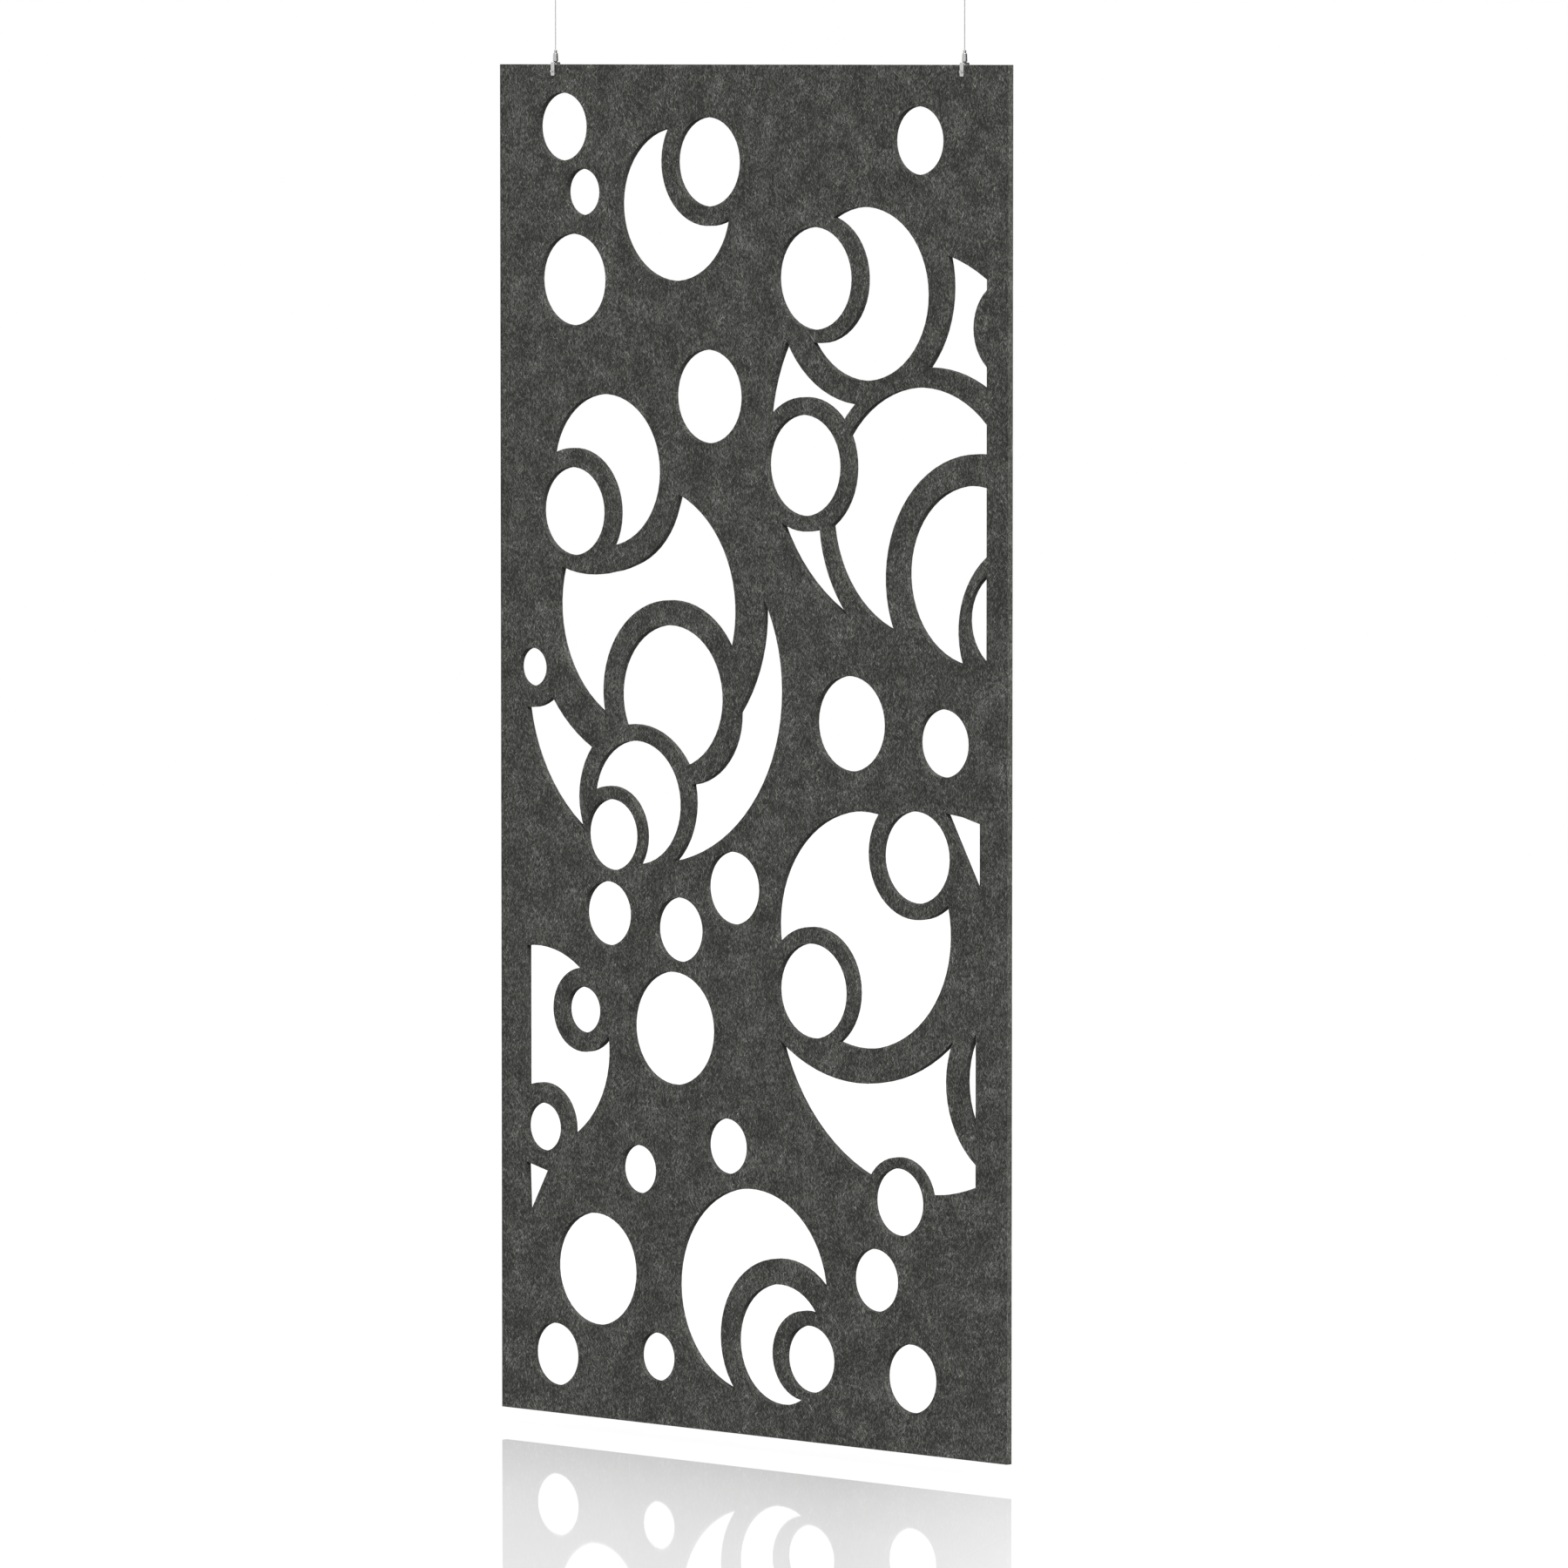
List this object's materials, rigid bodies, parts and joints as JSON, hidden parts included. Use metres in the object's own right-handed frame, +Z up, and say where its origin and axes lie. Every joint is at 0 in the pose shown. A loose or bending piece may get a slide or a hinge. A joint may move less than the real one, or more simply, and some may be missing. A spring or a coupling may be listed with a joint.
{
  "type": "hanging room divider panel",
  "caption": "Tall flat felt screen with round and crescent cut-outs, hung from the ceiling on short steel cables with grippers and clamp forks.",
  "frame": {"origin": "on the ceiling plane, midway between the two ceiling screws", "axes": "+X along the board's width, -Y out of the board's front face (the side with the clamp screws), +Z up"},
  "size_m": [1.22, 0.03, 2.55],
  "materials": {
    "grey_felt": "matte",
    "satin_nickel": "satin",
    "hardened_steel": "polished",
    "stranded_steel": "satin",
    "nylon": "matte"
  },
  "bodies": {
    "ceiling": {"left_ceiling_base": "satin_nickel", "left_ceiling_cap": "satin_nickel", "right_ceiling_base": "satin_nickel", "right_ceiling_cap": "satin_nickel"},
    "rig": {"left_cable_ball": "hardened_steel", "right_cable_ball": "hardened_steel"},
    "hung": {"panel": "grey_felt", "left_button_spring": "hardened_steel", "left_gripper_housing": "satin_nickel", "left_gripped_cable": "stranded_steel", "left_spacer_ring": "satin_nickel", "left_coupling_screw": "satin_nickel", "left_fork": "satin_nickel", "right_button_spring": "hardened_steel", "right_gripper_housing": "satin_nickel", "right_gripped_cable": "stranded_steel", "right_spacer_ring": "satin_nickel", "right_coupling_screw": "satin_nickel", "right_fork": "satin_nickel"},
    "left_cable_length": {"left_cable": "stranded_steel"},
    "left_button": {"left_release_button": "satin_nickel", "left_grip_balls": "hardened_steel"},
    "left_pad": {"left_clamp_pad": "nylon"},
    "left_screw": {"left_clamp_screw": "satin_nickel"},
    "right_cable_length": {"right_cable": "stranded_steel"},
    "right_button": {"right_release_button": "satin_nickel", "right_grip_balls": "hardened_steel"},
    "right_pad": {"right_clamp_pad": "nylon"},
    "right_screw": {"right_clamp_screw": "satin_nickel"}
  },
  "joints": [
    {"name": "board_swing", "type": "hinge", "parent": "ceiling", "child": "rig", "pos_m": [0, 0, -0.021], "axis": [1, 0, 0], "range_deg": [-15, 15]},
    {"name": "left_cable_swing", "type": "hinge", "parent": "rig", "child": "left_cable_length", "pos_m": [-0.49, 0, -0.021], "axis": [0, -1, 0], "range_deg": [-12, 12]},
    {"name": "board_sway", "type": "hinge", "parent": "left_cable_length", "child": "hung", "pos_m": [-0.49, 0, -0.1253], "axis": [0, 1, 0], "range_deg": [-12, 12]},
    {"name": "right_cable_swing", "type": "hinge", "parent": "hung", "child": "right_cable_length", "pos_m": [0.49, 0, -0.1253], "axis": [0, -1, 0], "range_deg": [-12, 12]},
    {"name": "left_button_press", "type": "slide", "parent": "hung", "child": "left_button", "axis": [0, 0, -1], "range_m": [0, 0.0015], "stiffness_N_per_m": 300, "springref_m": -0.003, "deforming": ["left_button_spring"]},
    {"name": "left_pad_travel", "type": "slide", "parent": "hung", "child": "left_pad", "axis": [0, -1, 0], "range_m": [0, 0.0009]},
    {"name": "left_screw_turn", "type": "hinge", "parent": "left_pad", "child": "left_screw", "pos_m": [-0.49, -0.0085, -0.162], "axis": [0, -1, 0], "range_deg": [0, 462.86]},
    {"name": "right_button_press", "type": "slide", "parent": "hung", "child": "right_button", "axis": [0, 0, -1], "range_m": [0, 0.0015], "stiffness_N_per_m": 300, "springref_m": -0.003, "deforming": ["right_button_spring"]},
    {"name": "right_pad_travel", "type": "slide", "parent": "hung", "child": "right_pad", "axis": [0, -1, 0], "range_m": [0, 0.0009]},
    {"name": "right_screw_turn", "type": "hinge", "parent": "right_pad", "child": "right_screw", "pos_m": [0.49, -0.0085, -0.162], "axis": [0, -1, 0], "range_deg": [0, 462.86]}
  ],
  "couplings": [
    {"joint": "left_cable_swing", "follows": "board_sway", "ratio": 1},
    {"joint": "left_screw_turn", "follows": "left_pad_travel", "rad_per_m": 8976},
    {"joint": "right_cable_swing", "follows": "board_sway", "ratio": 1},
    {"joint": "right_screw_turn", "follows": "right_pad_travel", "rad_per_m": 8976}
  ]
}
